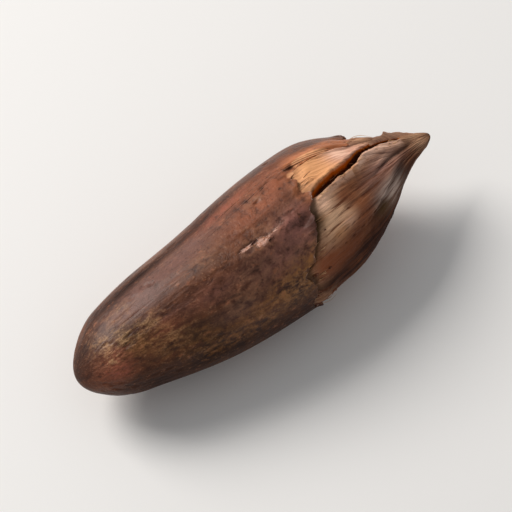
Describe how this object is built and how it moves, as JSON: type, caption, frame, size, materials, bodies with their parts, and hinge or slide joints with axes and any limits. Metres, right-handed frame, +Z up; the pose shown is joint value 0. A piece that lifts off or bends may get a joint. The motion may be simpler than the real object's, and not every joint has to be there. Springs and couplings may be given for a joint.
{
  "type": "chilgoza pine nut in shell",
  "caption": "Long, dark brown edible pine seed in its hard coat, lying on its side, with a blunt base, a seam along its back and a split, torn beak.",
  "frame": {"origin": "on the surface that the nut lies on, below the middle of its bounding box", "axes": "+X along the nut from its blunt base to the tip of its beak, +Z up, away from the surface that it lies on"},
  "size_m": [0.0234, 0.0081, 0.0071],
  "materials": {
    "seed_coat": "satin dark purple-brown skin with a mauve bloom, rust and golden wear, torn to a tan fibrous layer at the beak"
  },
  "bodies": {
    "root": {"nut": "seed_coat"}
  },
  "joints": []
}
